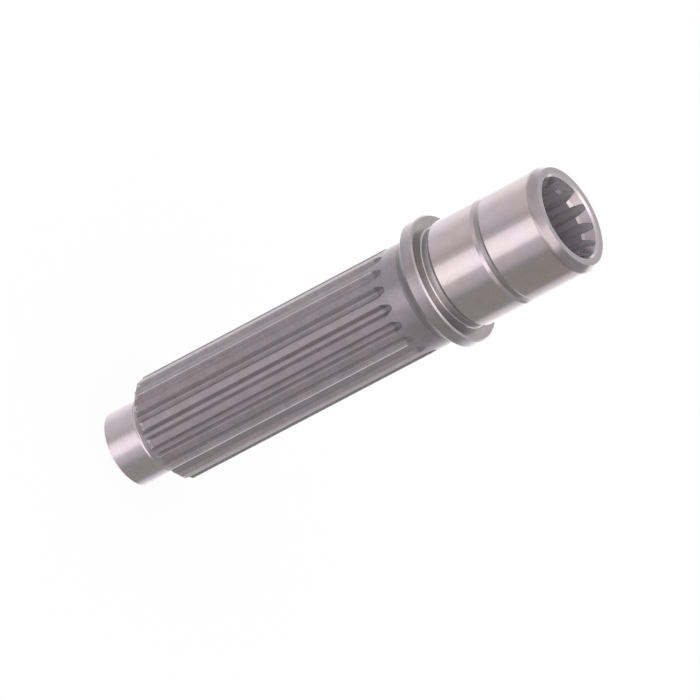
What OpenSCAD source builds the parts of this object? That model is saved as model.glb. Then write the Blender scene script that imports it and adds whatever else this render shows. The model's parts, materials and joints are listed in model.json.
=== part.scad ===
/* [Pilot journal] */
// Diameter of the ground pilot journal at the lower end
pilot_d = 35; // [30:0.1:38]
// Length of the pilot end, from its face to the foot of the spline's lead cone
pilot_len = 17.3; // [14:0.1:30]
// Edge break on the pilot's end face
pilot_chamfer = 1; // [0.5:0.1:2]
// Width of the grinding relief beside the lead cone
pilot_relief_w = 0.8; // [0.8:0.1:2.5]
// Depth of the grinding relief
pilot_relief_depth = 0.3; // [0.1:0.05:0.6]

/* [Centre hole] */
// Drill diameter of the 60 degree centre hole in the pilot's end face
centre_drill_d = 5; // [3:0.1:6.3]
// Depth of the centre drill below the end face
centre_drill_depth = 12; // [9:0.5:16]
// Diameter at the mouth of the 60 degree seat
centre_seat_d = 10.6; // [8:0.1:12]
// Diameter of the 120 degree recess that protects the seat
centre_guard_d = 15; // [13:0.1:18]

/* [External spline] */
// Module of the external spline
spline_module = 2.5; // [2.3:0.05:2.9]
// Number of teeth on the external spline
spline_teeth = 18; // [16:1:20]
// Pressure angle of both splines
pressure_angle = 30; // [27:0.5:33]
// Tooth thickness on the pitch circle
tooth_thickness = 5.4; // [5:0.05:5.6]
// Height of a tooth above the pitch circle
spline_addendum = 2; // [1.5:0.05:2.3]
// Depth of a space below the pitch circle
spline_dedendum = 0.3; // [0.1:0.05:0.6]
// Corner radius at the foot of a tooth
root_corner = 0.5; // [0.2:0.05:0.7]
// Edge break along the tooth tips
tip_break = 0.2; // [0.1:0.05:0.4]
// Length of the full tooth spaces, from the foot of the lead cone to the run-outs
spline_len = 135.6; // [90:0.1:160]
// Radius of the run-out that ends each tooth space
runout_r = 6.7; // [3.7:0.1:9]
// Slope of the lead cone, from the shaft's axis
lead_cone_angle = 50.5; // [40:0.5:60]

/* [Neck and collar] */
// Plain neck between the run-outs and the collar fillet
neck_len = 8.2; // [5:0.1:15]
// Radius of the fillet behind the collar
collar_fillet_r = 6.4; // [3:0.1:8]
// Diameter of the thrust collar
collar_d = 60; // [57:0.1:70]
// Width of the collar's rim, from the fillet to the front face
collar_rim_w = 6.2; // [4:0.1:12]
// Edge break on the collar's front edge
collar_chamfer = 0.75; // [0.3:0.05:1.5]
// Edge break on the collar's back edge
collar_back_break = 0.25; // [0.1:0.05:0.6]

/* [Undercut] */
// Diameter of the relief in front of the collar
undercut_d = 47.2; // [45:0.1:48.5]
// Width of the relief's floor, from the collar's front face
undercut_w = 4.1; // [2.5:0.1:6]
// Corner radius between the collar's face and the relief
undercut_corner = 0.6; // [0.3:0.05:1]
// Slope of the relief's far side, from the shaft's axis
undercut_slope = 50; // [30:1:75]

/* [Journals] */
// Diameter of the bearing journal and the seal journal
journal_d = 50; // [49:0.1:54]
// Length of the bearing journal
bearing_journal_len = 22.4; // [15:0.1:40]
// Length of the seal journal, up to its lead-in
seal_journal_len = 26.5; // [15:0.1:40]
// Width of the floor of the shallow groove between the journals
parting_floor_w = 2.1; // [1:0.1:4]
// Depth of that groove
parting_depth = 0.5; // [0.2:0.05:1]
// Slope of the groove's side next to the bearing journal, from the axis
parting_entry_slope = 18; // [12:1:45]
// Slope of the groove's side next to the seal journal, from the axis
parting_exit_slope = 24; // [15:1:60]
// Length of the lead-in cone at the mouth end
lead_in_len = 3.8; // [2:0.1:6]
// Slope of the lead-in cone, from the shaft's axis
lead_in_angle = 26; // [15:1:30]
// Blend radius between the seal journal and its lead-in
lead_in_blend_r = 4; // [1:0.5:6]

/* [Splined socket] */
// Module of the internal spline
socket_module = 2.75; // [2.5:0.05:2.8]
// Number of teeth in the socket
socket_teeth = 13; // [12:1:13]
// Width of a tooth space on the pitch circle
socket_space_w = 4.1; // [3.8:0.05:4.4]
// Height of an internal tooth inside the pitch circle
socket_addendum = 1.55; // [1.2:0.05:1.8]
// Depth of an internal space outside the pitch circle
socket_dedendum = 1.3; // [1:0.05:1.4]
// Corner radius at the foot of an internal space
socket_corner = 0.45; // [0.2:0.05:0.6]
// Angle from an external tooth space to the nearest internal one
socket_clocking = 6.15; // [0:0.05:27]
// Depth of the internal teeth below the end face
socket_tooth_depth = 42; // [30:0.5:50]
// Width of the cutter's relief below the internal teeth
socket_relief_w = 4.5; // [3:0.5:6]
// Diametral clearance of that relief over the internal spaces
socket_relief_over = 0.8; // [0.4:0.1:1.2]
// Plain depth of the bore below the relief
socket_floor_depth = 2; // [1:0.5:4]
// Included angle of the drill point at the bottom
drill_point_angle = 118; // [90:1:140]
// Diameter of the mouth in the end face
mouth_d = 40.2; // [39.2:0.1:42]
// Depth of the 45 degree edge break at the mouth
mouth_chamfer = 0.9; // [0.5:0.1:1.2]
// Slope of the tooth lead-in cone in the mouth, from the shaft's axis
mouth_cone_angle = 29; // [20:1:45]

/* [Hidden] */
$fn = 120;
// how far a cut runs past the surface that it opens
over = 0.5;
// straight pieces along one involute flank, one small corner, the collar fillet and the lead-in blend
flank_steps = 2;
corner_steps = 2;
fillet_steps = 8;
blend_steps = 4;
// step to which the outline of a tooth space is rounded, so that its run-out meets its straight cut
outline_step = 0.001;

// radii that the sizes above give
pilot_r = pilot_d / 2;
spline_pitch_r = spline_module * spline_teeth / 2;
spline_tip_r = spline_pitch_r + spline_addendum;
spline_root_r = spline_pitch_r - spline_dedendum;
collar_r = collar_d / 2;
undercut_r = undercut_d / 2;
journal_r = journal_d / 2;
socket_pitch_r = socket_module * socket_teeth / 2;
socket_tip_r = socket_pitch_r - socket_addendum;
socket_root_r = socket_pitch_r + socket_dedendum;
socket_relief_r = socket_root_r + socket_relief_over / 2;
mouth_r = mouth_d / 2;

// heights along the axis, from the pilot's end face
lead_cone_foot_z = pilot_len;
lead_cone_foot_r = pilot_r - pilot_relief_depth;
lead_cone_top_z = lead_cone_foot_z + (spline_tip_r - lead_cone_foot_r) / tan(lead_cone_angle);
runout_z = lead_cone_foot_z + spline_len;
spline_depth = spline_addendum + spline_dedendum;
runout_len = sqrt(pow(runout_r, 2) - pow(runout_r - spline_depth, 2));
fillet_z = runout_z + runout_len + neck_len;
collar_step = collar_r - spline_tip_r;
fillet_rise = min(collar_step - collar_back_break, collar_fillet_r);
fillet_angle = acos(1 - fillet_rise / collar_fillet_r);
collar_back_z = fillet_z + collar_fillet_r * sin(fillet_angle);
collar_face_z = collar_back_z + collar_back_break + collar_rim_w;
undercut_end_z = collar_face_z + undercut_w;
bearing_z = undercut_end_z + (journal_r - undercut_r) / tan(undercut_slope);
bearing_end_z = bearing_z + bearing_journal_len;
parting_floor_z = bearing_end_z + parting_depth / tan(parting_entry_slope);
parting_end_z = parting_floor_z + parting_floor_w;
seal_z = parting_end_z + parting_depth / tan(parting_exit_slope);
seal_end_z = seal_z + seal_journal_len;
end_z = seal_end_z + lead_in_len;
end_face_r = journal_r - lead_in_len * tan(lead_in_angle);
blend_tangent = lead_in_blend_r * tan(lead_in_angle / 2);
socket_relief_z = end_z - socket_tooth_depth;
socket_floor_z = socket_relief_z - socket_relief_w - socket_floor_depth;

// angle between the base circle's tangent point and a point at radius r, and its involute
function flank_angle(r, base_r) = acos(min(1, base_r / r));
function involute(a) = tan(a) * 180 / PI - a;

// half of the space's angle at radius r, for a space of the given width on the pitch circle
function half_space(r, pitch_r, space_w, sign) =
    let (base_r = pitch_r * cos(pressure_angle))
    space_w / pitch_r * 90 / PI
    + sign * (involute(flank_angle(r, base_r)) - involute(pressure_angle));

// a point at radius r that lies a degrees from the middle of the space, which points along +Y
function polar(r, a) = [r * sin(a), r * cos(a)];

// a corner rounded from point p to point q, with c as the sharp corner between them
function rounded(p, c, q, n) =
    [for (i = [0 : n]) let (t = i / n) pow(1 - t, 2) * p + 2 * t * (1 - t) * c + pow(t, 2) * q];

function mirrored(points) = [for (i = [len(points) - 1 : -1 : 0]) [-points[i][0], points[i][1]]];

function to_step(length) = round(length / outline_step) * outline_step;

// one side of a tooth space between two splines' radii, from its floor to its open side
function space_side(floor_r, edge_r, pitch_r, space_w, sign, corner) =
    let (
        out = edge_r > floor_r ? 1 : -1,
        corner_r = floor_r + out * corner,
        foot = polar(floor_r, half_space(floor_r, pitch_r, space_w, sign)),
        floor_point = [foot[0] - min(corner, foot[0] / 2), foot[1]],
        flank_start = polar(corner_r, half_space(corner_r, pitch_r, space_w, sign))
    )
    concat(
        rounded(floor_point, foot, flank_start, corner_steps),
        [for (i = [1 : flank_steps])
            let (r = corner_r + (edge_r - corner_r) * i / flank_steps)
            polar(r, half_space(r, pitch_r, space_w, sign))]
    );

// the external space: two flanks, broken edges at the tips, and room above them
function external_side() =
    let (
        edge_r = spline_tip_r - tip_break,
        space_w = 2 * PI * spline_pitch_r / spline_teeth - tooth_thickness,
        side = space_side(spline_root_r, edge_r, spline_pitch_r, space_w, 1, root_corner),
        edge = side[len(side) - 1]
    )
    concat(side, [edge + (tip_break + over) * [1, 1]]);

// the internal space: its floor is outermost and it opens towards the axis
function internal_side() =
    space_side(socket_root_r, socket_tip_r - over, socket_pitch_r, socket_space_w, -1, socket_corner);

// the closed outline of a space from one of its sides
function outline(side) =
    let (points = [for (p = side) [to_step(p[0]), to_step(p[1])]])
    concat(points, mirrored(points));

// rounds a fillet of radius r whose middle is at (mid_r, mid_z), from angle a to angle b
function arc(mid_r, mid_z, r, a, b, n) =
    [for (i = [0 : n]) let (t = a + (b - a) * i / n) [mid_r + r * cos(t), mid_z + r * sin(t)]];

// the turned blank, read from the pilot's face to the end face
module blank() {
    relief_z = lead_cone_foot_z - pilot_relief_w;
    rotate_extrude()
        polygon(concat(
            [
                [0, 0],
                [pilot_r - pilot_chamfer, 0],
                [pilot_r, pilot_chamfer],
                [pilot_r, relief_z - pilot_relief_depth],
                [lead_cone_foot_r, relief_z + pilot_relief_depth],
                [lead_cone_foot_r, lead_cone_foot_z],
                [spline_tip_r, lead_cone_top_z]
            ],
            arc(spline_tip_r + collar_fillet_r, fillet_z, collar_fillet_r, 180, 180 - fillet_angle, fillet_steps),
            [
                [collar_r, collar_back_z + collar_back_break],
                [collar_r, collar_face_z - collar_chamfer],
                [collar_r - collar_chamfer, collar_face_z]
            ],
            arc(undercut_r + undercut_corner, collar_face_z + undercut_corner, undercut_corner, 270, 180, corner_steps),
            [
                [undercut_r, undercut_end_z],
                [journal_r, bearing_z],
                [journal_r, bearing_end_z],
                [journal_r - parting_depth, parting_floor_z],
                [journal_r - parting_depth, parting_end_z],
                [journal_r, seal_z]
            ],
            arc(journal_r - lead_in_blend_r, seal_end_z - blend_tangent, lead_in_blend_r, 0, lead_in_angle, blend_steps),
            [
                [end_face_r, end_z],
                [0, end_z]
            ]
        ));
}

// one external space: a straight cut that leaves the shaft along an arc at its upper end
module external_space() {
    space = outline(external_side());
    axis_r = to_step(spline_root_r) + runout_r;
    linear_extrude(height = runout_z)
        polygon(space);
    translate([0, axis_r, runout_z])
        rotate([90, 0, -90])
            rotate_extrude(angle = 90)
                polygon([for (p = space) [axis_r - p[1], p[0]]]);
}

// the bore of the socket, with its mouth, its cutter relief and its drilled bottom
module socket_bore() {
    cone_r = mouth_r - mouth_chamfer;
    cone_z = end_z - mouth_chamfer;
    cone_end_z = cone_z - (cone_r - socket_tip_r) / tan(mouth_cone_angle);
    rotate_extrude()
        polygon([
            [0, end_z + over],
            [mouth_r + over, end_z + over],
            [cone_r, cone_z],
            [socket_tip_r, cone_end_z],
            [socket_tip_r, socket_relief_z],
            [socket_relief_r, socket_relief_z],
            [socket_relief_r, socket_relief_z - socket_relief_w],
            [socket_tip_r, socket_relief_z - socket_relief_w],
            [socket_tip_r, socket_floor_z],
            [0, socket_floor_z - socket_tip_r / tan(drill_point_angle / 2)]
        ]);
}

// all the spaces of the internal spline, clocked against the external ones
module socket_spaces() {
    for (i = [0 : socket_teeth - 1])
        rotate([0, 0, socket_clocking + i * 360 / socket_teeth])
            translate([0, 0, socket_relief_z - socket_relief_w / 2])
                linear_extrude(height = socket_tooth_depth + socket_relief_w / 2 + over)
                    polygon(outline(internal_side()));
}

// the 60 degree centre hole with a drilled bottom and a 120 degree guard
module centre_hole() {
    guard_depth = (centre_guard_d - centre_seat_d) / 2 / tan(60);
    seat_depth = (centre_seat_d - centre_drill_d) / 2 / tan(30);
    tip_depth = centre_drill_d / 2 / tan(drill_point_angle / 2);
    rotate_extrude()
        polygon([
            [0, -over],
            [centre_guard_d / 2 + over * tan(60), -over],
            [centre_seat_d / 2, guard_depth],
            [centre_drill_d / 2, guard_depth + seat_depth],
            [centre_drill_d / 2, centre_drill_depth],
            [0, centre_drill_depth + tip_depth]
        ]);
}

module shaft() {
    color("#968d92")
        difference() {
            blank();
            for (i = [0 : spline_teeth - 1])
                rotate([0, 0, i * 360 / spline_teeth])
                    external_space();
            socket_bore();
            socket_spaces();
            centre_hole();
        }
}

shaft();
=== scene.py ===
"""Dresses a splined drive shaft: one turned, splined and ground piece of hardened steel on a pale floor."""

import json
import logging
import math
from dataclasses import dataclass
from enum import Enum

import bpy
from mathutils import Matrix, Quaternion, Vector

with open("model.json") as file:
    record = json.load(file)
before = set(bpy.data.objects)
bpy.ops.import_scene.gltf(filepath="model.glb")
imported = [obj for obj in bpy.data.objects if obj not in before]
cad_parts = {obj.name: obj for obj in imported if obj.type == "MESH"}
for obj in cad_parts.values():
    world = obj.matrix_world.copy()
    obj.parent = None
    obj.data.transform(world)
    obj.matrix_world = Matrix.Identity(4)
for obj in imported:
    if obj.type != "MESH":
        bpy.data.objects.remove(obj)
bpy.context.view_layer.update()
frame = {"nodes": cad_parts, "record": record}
LOG = logging.getLogger("shaft")
MM = 0.001

Colour = tuple[float, float, float, float]
# What an input of a node takes: a value, or the socket that it is linked to.
Feed = float | tuple[float, ...] | Vector | bpy.types.NodeSocket


def linear(hex_colour: str) -> Colour:
    """Turns an sRGB hex colour into linear RGBA.

    Args:
        hex_colour: The colour as "#rrggbb".

    Returns:
        Red, green, blue and an alpha of 1, in linear light.
    """
    parts = [int(hex_colour[i:i + 2], 16) / 255 for i in (1, 3, 5)]
    red, green, blue = [p / 12.92 if p <= 0.04045 else ((p + 0.055) / 1.055) ** 2.4 for p in parts]
    return red, green, blue, 1.0


def grey(value: float) -> Colour:
    """Gives a number as the grey colour that a node holds it in."""
    return value, value, value, 1.0


def add_node(
    tree: bpy.types.NodeTree, kind: str, inputs: dict[str | int, Feed] | None = None, **settings: str
) -> bpy.types.Node:
    """Adds one node with its settings and links.

    A Mix node has its factor at input 0, its numbers at 2 and 3, and its colours at 6 and 7. A Map Range
    node has its value at input 0, the two limits that it reads at 1 and 2, and those that it gives at 3 and 4.

    Args:
        tree: The node tree that gets the node.
        kind: Blender's name of the node's type.
        inputs: A value or an output socket for each input, by name or number.
        **settings: Properties of the node itself.

    Returns:
        The new node.
    """
    node = tree.nodes.new(kind)
    for name, value in settings.items():
        setattr(node, name, value)
    for socket, value in (inputs or {}).items():
        if isinstance(value, bpy.types.NodeSocket):
            tree.links.new(value, node.inputs[socket])
        else:
            node.inputs[socket].default_value = value
    return node


class Lay(Enum):
    """Direction of the fine lines that a machine leaves, as density of the pattern along x, y and z."""

    ROUND = (0.04, 0.04, 1.0)
    LENGTHWISE = (1.0, 1.0, 0.03)
    NONE = (1.0, 1.0, 1.0)


class Measure(Enum):
    """What a stretch of the shaft is marked off by."""

    HEIGHT = "height above the floor"
    RADIUS = "distance from the axis"
    REACH = "radius at which a line parallel to the tooth ends' cone leaves the end face"


@dataclass(frozen=True)
class Finish:
    """How one stretch of the shaft's steel looks."""

    colour: str
    roughness: float
    # Share of the surface that holds the thin film of rust-preventive oil.
    oil: float = 1.0
    # Strength of the fine grain and of its relief.
    grain: float = 1.0
    # Bare steel is 1, and the oxide that heat treatment leaves is less.
    metal: float = 1.0


# Cylindrical grinding leaves a bright satin surface with a slight mauve cast under the lamps.
GROUND = Finish("#bdb1b6", 0.16, 0.25, 0.45)
# The pilot is ground with a coarser wheel and is wiped dry, so it is paler and softer than the other journals.
PILOT = Finish("#c3b8be", 0.22, 0.0, 0.45)
# Hobbed and heat-treated flanks and the turned neck stay dull and a little darker.
HOBBED = Finish("#92878d", 0.60, metal=0.78)
NECK = Finish("#91868d", 0.46, metal=0.84)
# The collar's rim is turned, so it is less bright than a journal.
RIM = Finish("#9b9096", 0.36, metal=0.92)
# Hollows are painted darker and dull: painted shade in the grooves' run-out ramps, at the fillet's start and on
# the ramp up to the bearing journal.
HOLLOW_SHADE = Finish("#877e83", 0.60)
# The corner under the collar's face and the mouth's edge break get a paler, smoother finish: a painted highlight
# of the bright lines there.
CORNER_HIGHLIGHT = Finish("#c8bec2", 0.20, 0.5, 0.5)
# Edge breaks are cut last and rubbed by handling; their paler colour is partly a painted highlight.
EDGE_WEAR_AND_HIGHLIGHT = Finish("#b8adb2", 0.24, 0.5, 0.5)
# Tooth tips, their ends and the mouth's lip are rubbed smooth where a mate slides over them; their paler colour
# is partly a painted highlight.
RUBBED_AND_HIGHLIT = Finish("#b6abb0", 0.30, 1.0, 0.5)
# The collar's face is turned and keeps a slight straw tint of the tempering.
TURNED = Finish("#a39b9d", 0.34, 0.6)
# The relief beside the collar's face is finished by a fine round-nosed tool and is a shade paler.
RELIEF = Finish("#b4adb0", 0.34, 0.6)
# The groove between the journals lies below the wheel and stays as it was turned.
GROOVE = Finish("#9a9093", 0.36, 0.6)
# The faced end, its lead-in cone and the tooth ends are finely turned.
FACED = Finish("#a79ca1", 0.22, 0.4, 0.6)
# The bore keeps the dull skin of hardening, and its broached spaces are painted a shade paler: painted light
# that offsets the shade deep between the teeth.
BORED = Finish("#9c949c", 0.60, 0.5, 0.6, 0.15)
BROACHED_PAINTED_LIGHT = Finish("#a59da3", 0.60, 0.5, 0.6, 0.15)


@dataclass(frozen=True)
class Zone:
    """A stretch of the shaft: its finish, the values it lies between, and whether it shows in spots."""

    finish: Finish
    within: dict[Measure, tuple[float, float]]
    spotted: bool = False


@dataclass(frozen=True)
class Pattern:
    """A noise with a real size: how large its grains are, which way they are drawn out, and its detail."""

    size: float
    lay: Lay = Lay.NONE
    detail: float = 2.0


@dataclass
class Mounts:
    """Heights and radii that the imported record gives, in metres."""

    pilot: tuple[float, float]
    spline: tuple[float, float]
    spline_radius: float
    collar_face: float
    bearing: tuple[float, float]
    seal: tuple[float, float]
    journal_radius: float
    socket_radius: float
    top: float

    @classmethod
    def read(cls, record: dict) -> "Mounts":
        """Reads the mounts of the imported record.

        Args:
            record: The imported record.

        Returns:
            The heights and radii that the finishes need.
        """
        found = {mount["name"]: mount for mount in record["mounts"]}

        def span(name: str) -> tuple[float, float]:
            """Lowest and highest height of a mount with a length."""
            middle = found[name]["pos_m"][2]
            half = found[name]["dims"]["length_mm"] * MM / 2
            return middle - half, middle + half

        def radius(name: str) -> float:
            """Radius of a round mount."""
            return found[name]["dims"]["r_mm"] * MM

        return cls(
            pilot=span("pilot_journal"),
            spline=span("external_spline"),
            spline_radius=radius("external_spline"),
            collar_face=found["collar_face"]["pos_m"][2],
            bearing=span("bearing_journal"),
            seal=span("seal_journal"),
            journal_radius=radius("seal_journal"),
            socket_radius=radius("splined_socket"),
            top=found["end_face"]["pos_m"][2],
        )


@dataclass
class HardenedSteel:
    """The steel of the whole shaft, whose finish changes along the axis and inside the socket."""

    mounts: Mounts
    # Sizes of the shaft that the mounts don't give, from the pilot's end to the mouth.
    centre_hole: float = 7.6 * MM
    relief: float = 1.1 * MM
    tip_break: float = 0.2 * MM
    run_in: float = 2.0 * MM
    run_out: float = 5.0 * MM
    fillet: float = 6.3 * MM
    rim: float = 6.45 * MM
    chamfer: float = 0.75 * MM
    corner: float = 0.7 * MM
    ramp: float = 1.7 * MM
    groove_side: float = 1.54 * MM
    lip_inset: float = 4.9 * MM
    lip_break: float = 0.9 * MM
    land: float = 0.8 * MM
    # Angle between the cone on the tooth ends and the axis, in degrees.
    tooth_cone: float = 29.0
    # A zone that ends at a flat face reaches this far past it, so that the face is all one finish.
    margin: float = 0.05 * MM
    # A zone at an end of the shaft reaches this far past it, and one in the bore reaches all the way.
    beyond: float = 1.0 * MM
    all_the_way: float = 1.0
    # The burnished edge break stops this far below the end face.
    shy: float = 0.02 * MM
    # Width of the rubbed lip with its painted highlight, and the shares of the tip break between which a tooth
    # is rubbed and painted brighter.
    bright_lip: float = 0.3 * MM
    bright_tip: tuple[float, float] = (1.1, 0.15)
    # Size of the painted glints on the tooth corners, and the values of their noise where one starts and is
    # full.
    spot: float = 1.1 * MM
    glint_limits: tuple[float, float] = (0.46, 0.56)
    # Heat treatment leaves patches of a faint straw and a faint blue cast.
    warm: str = "#fffdfa"
    cool: str = "#fdfdff"
    stains: Pattern = Pattern(16.0 * MM)
    stain_limits: tuple[float, float] = (0.38, 0.62)
    # Cloudy differences in the skin of hardening.
    blotches: Pattern = Pattern(6.0 * MM, detail=3.0)
    blotch_share: float = 0.08
    # Grit of a few hundredths of a millimetre is drawn ten times coarser, so that it shows at this distance.
    grain: Pattern = Pattern(0.8 * MM)
    grain_share: float = 0.07
    # Lines of the lathe and the wheel go round the shaft, and those of the hob and the broach go along it.
    turned: Pattern = Pattern(0.5 * MM, Lay.ROUND)
    drawn: Pattern = Pattern(0.5 * MM, Lay.LENGTHWISE)
    line_share: float = 0.03
    satin_share: float = 0.2
    # Values of a noise between which it swings from its lowest to its highest effect.
    swing_limits: tuple[float, float] = (0.3, 0.7)
    relief_depth: float = 0.03 * MM
    relief_strength: float = 0.25
    # The oil film brightens the edges that are seen at a low angle.
    oil_roughness: float = 0.15

    def zones(self) -> list[Zone]:
        """Lists the stretches, each of which covers those before it where they meet.

        Returns:
            The zones of the whole shaft.
        """
        m, height, radius = self.mounts, Measure.HEIGHT, Measure.RADIUS
        tip = m.spline_radius
        below, above = -self.beyond, m.top + self.beyond
        lead = m.pilot[1] + self.relief
        neck = m.spline[1] + self.run_out
        back = m.collar_face - self.rim
        face, front = m.collar_face - self.margin, m.collar_face + self.margin
        lip = m.journal_radius - self.lip_inset
        mouth = lip - self.lip_break
        bore = {
            height: (m.bearing[0], m.top),
            radius: (0.0, mouth + self.margin),
            Measure.REACH: (mouth + 2 * self.margin, self.all_the_way),
        }
        lip_break = {height: (m.top - self.lip_break, m.top - self.shy), radius: (mouth, lip)}
        lip_wear_and_highlight = {
            height: (m.top - self.bright_lip / 2, above),
            radius: (lip - self.bright_lip, lip + self.bright_lip),
        }
        tip_wear_and_highlight = {
            height: (m.pilot[1], m.spline[1]),
            radius: (tip - self.tip_break * self.bright_tip[0], tip - self.tip_break * self.bright_tip[1]),
        }
        tooth_corners = {
            height: (m.spline[0] - self.spot, m.spline[0] + self.spot),
            radius: (tip - self.spot, tip + self.beyond),
        }
        return [
            Zone(PILOT, {height: (below, lead)}),
            Zone(HOBBED, {height: (lead, neck)}),
            # Painted shade in the grooves' run-out ramps.
            Zone(HOLLOW_SHADE, {height: (m.spline[1], m.spline[1] + self.run_in), radius: (0.0, tip - self.tip_break)}),
            Zone(NECK, {height: (neck, back)}),
            # Painted shade at the start of the fillet under the collar.
            Zone(HOLLOW_SHADE, {height: (back - self.fillet, back - self.fillet / 2)}),
            Zone(RIM, {height: (back, m.collar_face)}),
            # The collar's chamfer: rubbed, and partly a painted highlight.
            Zone(EDGE_WEAR_AND_HIGHLIGHT, {height: (m.collar_face - self.chamfer, face)}),
            Zone(TURNED, {height: (face, front)}),
            Zone(RELIEF, {height: (front, m.bearing[0])}),
            # Painted shade on the ramp up to the bearing journal.
            Zone(HOLLOW_SHADE, {height: (m.bearing[0] - self.ramp, m.bearing[0])}),
            # Painted highlight in the corner under the collar's face.
            Zone(CORNER_HIGHLIGHT, {height: (front, m.collar_face + self.corner)}),
            Zone(GROOVE, {height: (m.bearing[1] + self.groove_side, m.seal[0])}),
            Zone(FACED, {height: (m.seal[1], above)}),
            # Painted highlight on the mouth's edge break.
            Zone(CORNER_HIGHLIGHT, lip_break),
            Zone(BORED, bore),
            # Broached spaces painted paler, as painted light between the teeth.
            Zone(BROACHED_PAINTED_LIGHT, {**bore, radius: (m.socket_radius + self.land, mouth + self.margin)}),
            # Rubbed lip and tooth tips, partly painted highlight.
            Zone(RUBBED_AND_HIGHLIT, lip_wear_and_highlight),
            Zone(RUBBED_AND_HIGHLIT, tip_wear_and_highlight),
            # Painted glints on the tooth corners.
            Zone(RUBBED_AND_HIGHLIT, tooth_corners, spotted=True),
            Zone(TURNED, {height: (below, m.pilot[1]), radius: (0.0, self.centre_hole)}),
        ]

    def build(self) -> bpy.types.Material:
        """Makes the material.

        Returns:
            The steel, named for its finish.
        """
        material = bpy.data.materials.new("ground_and_hobbed_hardened_steel")
        material.use_nodes = True
        tree = material.node_tree
        tree.nodes.clear()
        place = add_node(tree, "ShaderNodeTexCoord").outputs["Object"]
        colour, rough, oil, fine, metal = self.join(tree, place)
        grain = self.noise(tree, place, self.grain)
        turned, drawn = self.noise(tree, place, self.turned), self.noise(tree, place, self.drawn)
        # Hobbed and broached stretches keep the most oxide, which also mixes in the lines along the shaft.
        lines = add_node(tree, "ShaderNodeMix", {0: metal, 2: drawn, 3: turned}).outputs[0]
        painted = self.stain(tree, place, colour)
        blotches = self.noise(tree, place, self.blotches)
        shade: Feed = 1.0
        patterns = ((blotches, self.blotch_share), (grain, self.grain_share), (lines, self.line_share))
        for pattern, share in patterns:
            part = self.swing(tree, pattern, share, fine)
            shade = add_node(tree, "ShaderNodeMath", {0: shade, 1: part}, operation="MULTIPLY").outputs[0]
        shaded = add_node(tree, "ShaderNodeVectorMath", {0: painted, "Scale": shade}, operation="SCALE")
        satin = self.swing(tree, lines, self.satin_share, 1.0)
        dulled = add_node(tree, "ShaderNodeMath", {0: rough, 1: satin}, operation="MULTIPLY")
        both = add_node(tree, "ShaderNodeMath", {0: grain, 1: lines}, operation="ADD").outputs[0]
        relief = add_node(tree, "ShaderNodeMath", {0: both, 1: fine}, operation="MULTIPLY").outputs[0]
        bump = add_node(
            tree,
            "ShaderNodeBump",
            {"Strength": self.relief_strength, "Distance": self.relief_depth, "Height": relief},
        )
        shader = add_node(
            tree,
            "ShaderNodeBsdfPrincipled",
            {
                "Base Color": shaded.outputs[0],
                "Metallic": metal,
                "Roughness": dulled.outputs[0],
                "Normal": bump.outputs[0],
                "Coat Weight": oil,
                "Coat Roughness": self.oil_roughness,
            },
        )
        add_node(tree, "ShaderNodeOutputMaterial", {0: shader.outputs[0]})
        return material

    def measures(
        self, tree: bpy.types.NodeTree, place: bpy.types.NodeSocket
    ) -> dict[Measure, bpy.types.NodeSocket]:
        """Adds what the zones are marked off by.

        Args:
            tree: The material's node tree.
            place: Object coordinates.

        Returns:
            A socket for each measure, in metres.
        """
        axes = add_node(tree, "ShaderNodeSeparateXYZ", {0: place}).outputs
        flat = add_node(tree, "ShaderNodeCombineXYZ", {0: axes["X"], 1: axes["Y"]}).outputs[0]
        radius = add_node(tree, "ShaderNodeVectorMath", {0: flat}, operation="LENGTH").outputs["Value"]
        slope = math.tan(math.radians(self.tooth_cone))
        start = (self.mounts.top - self.lip_break) * slope
        depth = add_node(
            tree, "ShaderNodeMath", {0: axes["Z"], 1: -slope, 2: start}, operation="MULTIPLY_ADD"
        ).outputs[0]
        reach = add_node(tree, "ShaderNodeMath", {0: radius, 1: depth}, operation="ADD").outputs[0]
        return {Measure.HEIGHT: axes["Z"], Measure.RADIUS: radius, Measure.REACH: reach}

    def join(self, tree: bpy.types.NodeTree, place: bpy.types.NodeSocket) -> list[Feed]:
        """Lays the finishes of all zones over the ground steel.

        Args:
            tree: The material's node tree.
            place: Object coordinates.

        Returns:
            The sockets of the colour, roughness, oil's share, grain's strength and metal's share.
        """
        measures = self.measures(tree, place)
        # The noise of the painted glints on the tooth corners.
        speckle = self.noise(tree, place, Pattern(self.spot, detail=0.0))
        start, full = self.glint_limits
        glints = add_node(tree, "ShaderNodeMapRange", {0: speckle, 1: start, 2: full}).outputs[0]
        colour: Feed = linear(GROUND.colour)
        numbers: list[Feed] = [GROUND.roughness, GROUND.oil, GROUND.grain, GROUND.metal]
        for zone in self.zones():
            mask: Feed = glints if zone.spotted else 1.0
            for measure, (low, high) in zone.within.items():
                inside = add_node(
                    tree,
                    "ShaderNodeMath",
                    {0: measures[measure], 1: (low + high) / 2, 2: (high - low) / 2},
                    operation="COMPARE",
                ).outputs[0]
                mask = add_node(tree, "ShaderNodeMath", {0: inside, 1: mask}, operation="MULTIPLY").outputs[0]
            finish = zone.finish
            colour = add_node(
                tree, "ShaderNodeMix", {0: mask, 6: colour, 7: linear(finish.colour)}, data_type="RGBA"
            ).outputs[2]
            numbers = [
                add_node(tree, "ShaderNodeMix", {0: mask, 2: old, 3: new}).outputs[0]
                for old, new in zip(numbers, (finish.roughness, finish.oil, finish.grain, finish.metal))
            ]
        return [colour, *numbers]

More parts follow.
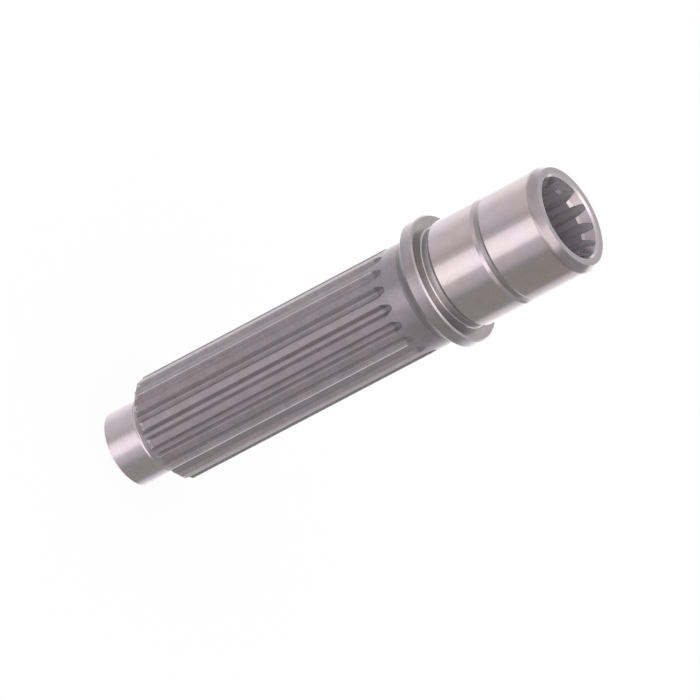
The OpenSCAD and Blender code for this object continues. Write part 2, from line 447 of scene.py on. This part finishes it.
    def stain(
        self, tree: bpy.types.NodeTree, place: bpy.types.NodeSocket, colour: Feed
    ) -> bpy.types.NodeSocket:
        """Tints a colour with the patches that heat treatment leaves.

        Args:
            tree: The material's node tree.
            place: Object coordinates.
            colour: The colour without them.

        Returns:
            The tinted colour's socket.
        """
        stains = self.noise(tree, place, self.stains)
        start, full = self.stain_limits
        tint = add_node(tree, "ShaderNodeMapRange", {0: stains, 1: start, 2: full}).outputs[0]
        cast = add_node(
            tree, "ShaderNodeMix", {0: tint, 6: linear(self.warm), 7: linear(self.cool)}, data_type="RGBA"
        ).outputs[2]
        return add_node(tree, "ShaderNodeVectorMath", {0: colour, 1: cast}, operation="MULTIPLY").outputs[0]

    def noise(
        self, tree: bpy.types.NodeTree, place: bpy.types.NodeSocket, pattern: Pattern
    ) -> bpy.types.NodeSocket:
        """Adds a noise whose grains have a real size.

        Args:
            tree: The material's node tree.
            place: Object coordinates.
            pattern: The size, lay and detail of the grains.

        Returns:
            The noise's value, from 0 to 1.
        """
        drawn = add_node(tree, "ShaderNodeMapping", {"Vector": place, "Scale": pattern.lay.value}).outputs[0]
        return add_node(
            tree, "ShaderNodeTexNoise", {"Vector": drawn, "Scale": 1 / pattern.size, "Detail": pattern.detail}
        ).outputs[0]

    def swing(
        self, tree: bpy.types.NodeTree, pattern: bpy.types.NodeSocket, share: float, strength: Feed
    ) -> bpy.types.NodeSocket:
        """Turns a pattern into a factor that swings around 1.

        Args:
            tree: The material's node tree.
            pattern: The pattern, from 0 to 1.
            share: How far the factor goes above and below 1.
            strength: A number or socket from 0 to 1 that weakens the swing.

        Returns:
            The factor's socket.
        """
        low, high = self.swing_limits
        level = add_node(
            tree, "ShaderNodeMapRange", {0: pattern, 1: low, 2: high, 3: -share, 4: share}
        ).outputs[0]
        return add_node(
            tree, "ShaderNodeMath", {0: level, 1: strength, 2: 1.0}, operation="MULTIPLY_ADD"
        ).outputs[0]

    def dress(self, node: bpy.types.Object) -> None:
        """Gives the CAD node this steel, in its object's own slot."""
        node.material_slots[0].link = "OBJECT"
        node.material_slots[0].material = self.build()


@dataclass
class Camera:
    """The photograph's camera: far away, nearly parallel, and rolled so that the shaft lies aslant."""

    # Width of the picture, in pixels, and pixels to a metre at the shaft.
    image_px: float = 700.0
    scale_px: float = 2314.1
    # Distance from the height that it is aimed at, in metres.
    distance: float = 7.0
    # Where the camera stands and how far it is rolled, in degrees.
    azimuth: float = 3.3
    elevation: float = 26.86
    roll: float = 62.26
    # The height on the shaft's axis that the picture shows at this pixel, from its upper left corner.
    aim_height: float = 0.08335
    aim_px: tuple[float, float] = (278.64, 369.75)
    # Width of the sensor, in millimetres.
    sensor: float = 36.0

    def build(self) -> bpy.types.Object:
        """Adds the camera and makes it the scene's own.

        Returns:
            The camera object.
        """
        a, e = math.radians(self.azimuth), math.radians(self.elevation)
        back = Vector((math.sin(a) * math.cos(e), -math.cos(a) * math.cos(e), math.sin(e)))
        turn = (-back).to_track_quat("-Z", "Y") @ Quaternion((0, 0, 1), math.radians(self.roll))
        right, up = turn @ Vector((1, 0, 0)), turn @ Vector((0, 1, 0))
        across = (self.aim_px[0] - self.image_px / 2) / self.scale_px
        above = (self.image_px / 2 - self.aim_px[1]) / self.scale_px
        aim = Vector((0, 0, self.aim_height))
        data = bpy.data.cameras.new("camera")
        data.sensor_width = self.sensor
        data.lens = self.scale_px * self.distance / self.image_px * self.sensor
        camera = bpy.data.objects.new("camera", data)
        camera.rotation_mode = "QUATERNION"
        camera.rotation_quaternion = turn
        camera.location = aim + back * self.distance - right * across - up * above
        bpy.context.scene.collection.objects.link(camera)
        bpy.context.scene.camera = camera
        return camera


@dataclass
class Floor:
    """A plain pale floor that keeps the shaft's shadow."""

    # Length of a side, in metres.
    side: float = 8.0
    colour: str = "#f4f4f4"
    # Share of plain white that the camera sees over the paper, which leaves a soft shadow.
    glow: float = 0.93

    def build(self) -> bpy.types.Object:
        """Adds the floor and its material.

        Returns:
            The floor.
        """
        bpy.ops.object.select_all(action="DESELECT")
        bpy.ops.mesh.primitive_plane_add(size=self.side, location=(0, 0, 0))
        floor = bpy.context.active_object
        floor.name = "floor"
        material = bpy.data.materials.new("pale_paper")
        material.use_nodes = True
        tree = material.node_tree
        tree.nodes.clear()
        paper = add_node(tree, "ShaderNodeBsdfDiffuse", {"Color": linear(self.colour)})
        white = add_node(tree, "ShaderNodeEmission", {"Color": grey(1.0), "Strength": 1.0})
        rays = add_node(tree, "ShaderNodeLightPath").outputs["Is Camera Ray"]
        part = add_node(tree, "ShaderNodeMath", {0: rays, 1: self.glow}, operation="MULTIPLY").outputs[0]
        mixed = add_node(tree, "ShaderNodeMixShader", {0: part, 1: paper.outputs[0], 2: white.outputs[0]})
        add_node(tree, "ShaderNodeOutputMaterial", {0: mixed.outputs[0]})
        floor.data.materials.append(material)
        # The metal mirrors the tent's grey table instead, whose light the paper lets through.
        floor.visible_glossy = False
        floor.visible_shadow = False
        return floor


class Axis(Enum):
    """A direction that a panel of the light tent is measured along, and whose it is."""

    SIDEWAYS = ("camera", (1.0, 0.0, 0.0))
    RAISED = ("camera", (0.0, 1.0, 0.0))
    TOWARDS = ("camera", (0.0, 0.0, 1.0))
    UPRIGHT = ("floor", (0.0, 0.0, 1.0))

    def direction(self, camera: bpy.types.Object) -> Vector:
        """Gives the axis as a fixed direction in the scene."""
        owner, way = self.value
        return camera.rotation_quaternion @ Vector(way) if owner == "camera" else Vector(way)


@dataclass(frozen=True)
class Panel:
    """One panel of the tent: its brightness, and where it starts and is full along one axis or more."""

    value: float
    limits: tuple[tuple[Axis, float, float], ...]
    tint: str = "#ffffff"

    def colour(self, bright: float) -> Colour:
        """Gives the panel's colour as a share of the tent's brightest value."""
        red, green, blue, _ = linear(self.tint)
        share = self.value / bright
        return red * share, green * share, blue * share, 1.0


@dataclass
class LightTent:
    """The soft light all round the shaft: white cloth, a lit wall, light boxes on the right and a grey table."""

    # So wide that both ends of the shaft see every part of it in the same direction.
    radius: float = 60.0
    subdivisions: int = 3
    # Height of a direction in the picture, from -1 at its foot to 1 at its head, and brightness there.
    cloth: tuple[tuple[float, float], ...] = (
        (-1.0, 0.44),
        (-0.84, 0.44),
        (-0.78, 0.62),
        (-0.70, 0.74),
        (-0.50, 0.88),
        (-0.46, 0.96),
        (-0.42, 1.60),
        (-0.36, 1.72),
        (-0.20, 1.86),
        (0.00, 1.66),
        (0.09, 1.50),
        (0.15, 0.86),
        (0.28, 0.67),
        (0.40, 0.83),
        (0.60, 0.98),
        (0.75, 0.90),
        (1.0, 0.82),
    )
    # Each panel hangs in front of those before it.
    panels: tuple[Panel, ...] = (
        # The table's near edge, with a faint straw tint.
        Panel(0.44, ((Axis.RAISED, -0.86, -0.93),), "#fffff5"),
        # The upper left part of the wall behind the shaft.
        Panel(1.25, ((Axis.TOWARDS, -0.30, -0.60), (Axis.RAISED, 0.30, 0.50), (Axis.SIDEWAYS, -0.20, -0.40))),
        # The wall behind the shaft.
        Panel(1.4, ((Axis.TOWARDS, -0.50, -0.98),)),
        # A grey card on the left, below the middle.
        Panel(
            0.7,
            (
                (Axis.SIDEWAYS, -0.70, -0.85),
                (Axis.TOWARDS, 0.45, 0.30),
                (Axis.TOWARDS, -0.70, -0.50),
                (Axis.RAISED, 0.10, -0.05),
            ),
        ),
        # The cloth on the right, below the middle.
        Panel(
            0.8,
            (
                (Axis.SIDEWAYS, 0.25, 0.45),
                (Axis.RAISED, 0.10, 0.0),
                (Axis.RAISED, -0.55, -0.48),
                (Axis.TOWARDS, -0.75, -0.60),
            ),
        ),
        # The right part of the table.
        Panel(0.5, ((Axis.SIDEWAYS, 0.20, 0.35), (Axis.RAISED, -0.48, -0.55), (Axis.TOWARDS, 0.75, 0.60))),
        # A narrow light box in front, on the right of the camera and below it.
        Panel(
            1.7,
            (
                (Axis.SIDEWAYS, 0.05, 0.12),
                (Axis.SIDEWAYS, 0.50, 0.40),
                (Axis.RAISED, -0.62, -0.50),
                (Axis.RAISED, 0.0, -0.10),
                (Axis.TOWARDS, 0.60, 0.70),
            ),
        ),
        # The grey table straight under the shaft.
        Panel(0.55, ((Axis.UPRIGHT, -0.46, -0.72), (Axis.TOWARDS, -0.75, -0.45))),
        # The pale front above the camera.
        Panel(1.15, ((Axis.TOWARDS, 0.86, 0.95), (Axis.RAISED, 0.10, 0.16))),
        # The large light box on the right, which the faced end mirrors.
        Panel(
            1.9,
            (
                (Axis.SIDEWAYS, 0.12, 0.22),
                (Axis.SIDEWAYS, 0.95, 0.70),
                (Axis.TOWARDS, 0.05, 0.30),
                (Axis.RAISED, 0.70, 0.35),
                (Axis.RAISED, -0.35, -0.05),
            ),
        ),
    )

    def build(self, camera: bpy.types.Object) -> bpy.types.Object:
        """Adds the tent, whose walls stand square to the photograph's frame.

        Args:
            camera: The camera, whose fixed place gives the tent its own place once and for all.

        Returns:
            The tent. Only the camera looks through it.
        """
        bpy.ops.object.select_all(action="DESELECT")
        bpy.ops.mesh.primitive_ico_sphere_add(
            subdivisions=self.subdivisions, radius=self.radius, location=(0, 0, 0)
        )
        tent = bpy.context.active_object
        tent.name = "light_tent"
        tent.data.materials.append(self.lit_cloth(camera))
        tent.visible_camera = False
        return tent

    def lit_cloth(self, camera: bpy.types.Object) -> bpy.types.Material:
        """Makes the tent's material, which is the scene's only light.

        Args:
            camera: The camera that the tent stands square to.

        Returns:
            The material.
        """
        material = bpy.data.materials.new("lit_white_cloth")
        material.use_nodes = True
        tree = material.node_tree
        tree.nodes.clear()
        spot = add_node(tree, "ShaderNodeTexCoord").outputs["Object"]
        way = add_node(tree, "ShaderNodeVectorMath", {0: spot}, operation="NORMALIZE").outputs[0]
        ways = {
            axis: add_node(
                tree, "ShaderNodeVectorMath", {0: way, 1: axis.direction(camera)}, operation="DOT_PRODUCT"
            ).outputs["Value"]
            for axis in Axis
        }
        bright = max([value for _, value in self.cloth] + [panel.value for panel in self.panels])
        lit = self.hang_cloth(tree, ways[Axis.RAISED], bright)
        for panel in self.panels:
            part: Feed = 1.0
            for axis, start, full in panel.limits:
                step = add_node(tree, "ShaderNodeMapRange", {0: ways[axis], 1: start, 2: full}).outputs[0]
                part = add_node(tree, "ShaderNodeMath", {0: step, 1: part}, operation="MULTIPLY").outputs[0]
            lit = add_node(
                tree, "ShaderNodeMix", {0: part, 6: lit, 7: panel.colour(bright)}, data_type="RGBA"
            ).outputs[2]
        light = add_node(tree, "ShaderNodeEmission", {"Color": lit, "Strength": bright})
        add_node(tree, "ShaderNodeOutputMaterial", {0: light.outputs[0]})
        # The tent lies all round and is evenly lit, so that rays which reach it by themselves are enough.
        material.cycles.emission_sampling = "NONE"
        return material

    def hang_cloth(
        self, tree: bpy.types.NodeTree, raised: bpy.types.NodeSocket, bright: float
    ) -> bpy.types.NodeSocket:
        """Adds the light of the cloth behind the panels, which changes only with height.

        Args:
            tree: The material's node tree.
            raised: Height of a direction in the picture, from -1 to 1.
            bright: The tent's brightest value.

        Returns:
            The cloth's colour as a share of the brightest value.
        """
        share = add_node(tree, "ShaderNodeMapRange", {0: raised, 1: -1.0, 2: 1.0}).outputs[0]
        ramp = add_node(tree, "ShaderNodeValToRGB", {0: share})
        stops = [((height + 1) / 2, grey(value / bright)) for height, value in self.cloth]
        elements = ramp.color_ramp.elements
        elements.remove(elements[-1])
        elements[0].position, elements[0].color = stops[0]
        for position, colour in stops[1:]:
            elements.new(position).color = colour
        return ramp.outputs[0]


@dataclass
class Backdrop:
    """The plain white behind everything, which the tent keeps off all but the camera."""

    value: float = 1.0

    def build(self) -> bpy.types.World:
        """Makes the world plain white.

        Returns:
            The world.
        """
        world = bpy.data.worlds.new("white_backdrop")
        bpy.context.scene.world = world
        world.use_nodes = True
        tree = world.node_tree
        tree.nodes.clear()
        white = add_node(tree, "ShaderNodeBackground", {"Color": grey(self.value), "Strength": 1.0})
        add_node(tree, "ShaderNodeOutputWorld", {0: white.outputs[0]})
        # The tent keeps all rays but the camera's from it, so it needs no sampling as a light.
        world.cycles.sampling_method = "NONE"
        return world


def main() -> None:
    """Builds the camera, the light, the floor and the shaft's finish."""
    logging.basicConfig(level=logging.INFO, format="%(name)s: %(message)s")
    camera = Camera().build()
    tent = LightTent().build(camera)
    Backdrop().build()
    floor = Floor().build()
    LOG.info("stage: %s, %s and %s", camera.name, tent.name, floor.name)
    shaft = frame["nodes"]["shaft"]
    HardenedSteel(Mounts.read(frame["record"])).dress(shaft)
    LOG.info("shaft: dressed in hardened steel, %d faces", len(shaft.data.polygons))
    bpy.context.scene.view_settings.view_transform = "Standard"


if __name__ == "__main__":
    main()
